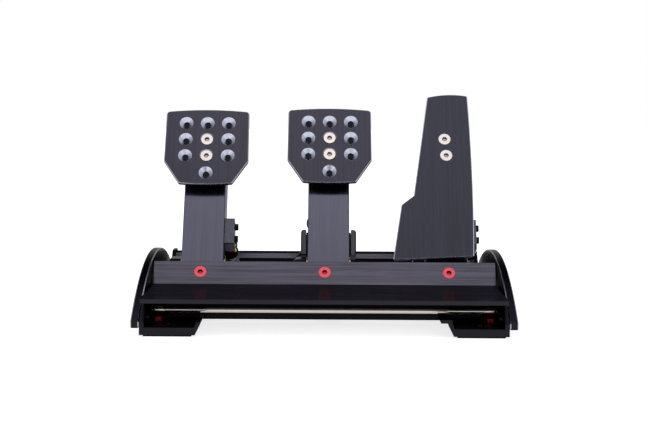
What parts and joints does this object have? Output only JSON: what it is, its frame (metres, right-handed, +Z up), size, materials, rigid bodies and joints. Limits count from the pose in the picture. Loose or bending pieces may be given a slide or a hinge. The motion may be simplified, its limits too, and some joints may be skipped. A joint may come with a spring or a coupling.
{
  "type": "sim racing pedal set",
  "caption": "Sim racing pedal set: clutch, brake and throttle pedals on a low base with a heel plate and arched side plates.",
  "frame": {"origin": "bottom centre of the set: on the floor, midway between the side plates and between their front and rear noses", "axes": "+X to the driver's right, +Y away from the driver, +Z up"},
  "size_m": [0.364, 0.342, 0.2259],
  "materials": {
    "dark_anodised": "brushed, dark grey anodised",
    "arm_anodised": "brushed, grey anodised",
    "black_aluminium": "black anodised, satin",
    "bright_steel": "bright",
    "spring_steel": "satin",
    "black_steel": "black oxide, satin",
    "red_anodised": "red anodised, satin",
    "brass": "plain",
    "black_rubber": "matt",
    "ring_rubber": "satin",
    "black_plastic": "fine texture",
    "board_green": "solder mask",
    "socket_metal": "tinned",
    "lead_black": "smooth"
  },
  "bodies": {
    "base": {"left_side_plate": "dark_anodised", "right_side_plate": "dark_anodised", "base_screws": "black_steel", "heel_plate": "dark_anodised", "front_plate_screws": "red_anodised", "front_tie_rod": "bright_steel", "front_beam": "black_aluminium", "rear_cross_bar": "black_aluminium", "rear_bar_brackets": "dark_anodised", "front_feet": "dark_anodised", "rear_feet": "dark_anodised", "foot_pads": "black_rubber", "foot_nuts": "red_anodised", "clutch_frame": "black_aluminium", "brake_frame": "black_aluminium", "throttle_frame": "black_aluminium", "pivot_axles": "bright_steel", "sensor_housings": "black_plastic", "control_box": "black_plastic", "control_board": "board_green", "lead_sockets": "socket_metal", "control_box_lid": "black_plastic", "control_box_screws": "black_steel", "lead_gland": "black_rubber", "brake_lead": "lead_black", "load_cell": "bright_steel", "brake_thrust_block": "dark_anodised", "brake_rubber_rings": "ring_rubber", "brake_stack_washers": "bright_steel"},
    "clutch_pedal": {"clutch_arm": "arm_anodised", "clutch_bushes": "brass", "clutch_pad_fasteners": "bright_steel", "clutch_pad": "dark_anodised", "clutch_link_block": "dark_anodised", "clutch_link_fasteners": "black_steel", "clutch_hole_plugs": "black_plastic"},
    "clutch_tube": {"clutch_link_tube": "bright_steel", "clutch_spring": "spring_steel"},
    "clutch_rod": {"clutch_link_rod": "red_anodised"},
    "clutch_nut": {"clutch_adjuster": "black_aluminium"},
    "throttle_pedal": {"throttle_arm": "arm_anodised", "throttle_bushes": "brass", "throttle_pad_fasteners": "bright_steel", "throttle_plate": "dark_anodised", "throttle_link_block": "dark_anodised", "throttle_link_fasteners": "black_steel"},
    "throttle_tube": {"throttle_link_tube": "bright_steel", "throttle_spring": "spring_steel"},
    "throttle_rod": {"throttle_link_rod": "red_anodised"},
    "throttle_nut": {"throttle_adjuster": "black_aluminium"},
    "brake_pedal": {"brake_arm": "arm_anodised", "brake_bushes": "brass", "brake_pad_fasteners": "bright_steel", "brake_pad": "dark_anodised", "brake_hole_plugs": "black_plastic", "brake_link_pin": "black_steel", "vibration_motor": "black_plastic", "motor_lead": "lead_black"},
    "brake_link": {"brake_yoke": "dark_anodised"},
    "brake_knob": {"brake_stiffness_knob": "red_anodised"}
  },
  "joints": [
    {"name": "clutch_press", "type": "hinge", "parent": "base", "child": "clutch_pedal", "pos_m": [-0.126, -0.01168, 0.0456], "axis": [-1, 0, 0], "range_deg": [0, 18], "stiffness_Nm_per_rad": 26, "springref_deg": -6.88},
    {"name": "clutch_tube_swing", "type": "hinge", "parent": "base", "child": "clutch_tube", "pos_m": [-0.0993, 0.06906, 0.02511], "axis": [1, 0, 0], "range_deg": [0, 2.4]},
    {"name": "clutch_rod_slide", "type": "slide", "parent": "clutch_tube", "child": "clutch_rod", "axis": [0, 0.8192, -0.5735], "range_m": [0, 0.0091], "deforming": ["clutch_spring"]},
    {"name": "clutch_preload", "type": "hinge", "parent": "clutch_rod", "child": "clutch_nut", "pos_m": [-0.0993, 0.02012, 0.05937], "axis": [0, 0.8192, -0.5735], "continuous": true},
    {"name": "throttle_press", "type": "hinge", "parent": "base", "child": "throttle_pedal", "pos_m": [0.1256, -0.01168, 0.0456], "axis": [-1, 0, 0], "range_deg": [0, 18], "stiffness_Nm_per_rad": 14, "springref_deg": -6.88},
    {"name": "throttle_tube_swing", "type": "hinge", "parent": "base", "child": "throttle_tube", "pos_m": [0.1523, 0.06906, 0.02511], "axis": [1, 0, 0], "range_deg": [0, 2.4]},
    {"name": "throttle_rod_slide", "type": "slide", "parent": "throttle_tube", "child": "throttle_rod", "axis": [0, 0.8192, -0.5735], "range_m": [0, 0.0091], "deforming": ["throttle_spring"]},
    {"name": "throttle_preload", "type": "hinge", "parent": "throttle_rod", "child": "throttle_nut", "pos_m": [0.1523, 0.02012, 0.05937], "axis": [0, 0.8192, -0.5735], "continuous": true},
    {"name": "brake_press", "type": "hinge", "parent": "base", "child": "brake_pedal", "pos_m": [0.0038, -0.01168, 0.0456], "axis": [-1, 0, 0], "range_deg": [0, 8], "stiffness_Nm_per_rad": 300, "springref_deg": -1.72},
    {"name": "brake_link_slide", "type": "slide", "parent": "base", "child": "brake_link", "axis": [0, 0.9397, -0.342], "range_m": [0, 0.0048], "deforming": ["brake_rubber_rings", "brake_stack_washers"]},
    {"name": "brake_stiffness", "type": "hinge", "parent": "brake_link", "child": "brake_knob", "pos_m": [0.0038, 0.04308, 0.05914], "axis": [0, 0.9397, -0.342], "continuous": true}
  ],
  "couplings": [
    {"joint": "clutch_tube_swing", "follows": "clutch_press", "ratio": 0.128},
    {"joint": "clutch_rod_slide", "follows": "clutch_press", "m_per_rad": 0.02836},
    {"joint": "throttle_tube_swing", "follows": "throttle_press", "ratio": 0.128},
    {"joint": "throttle_rod_slide", "follows": "throttle_press", "m_per_rad": 0.02836},
    {"joint": "brake_link_slide", "follows": "brake_press", "m_per_rad": 0.03145}
  ]
}
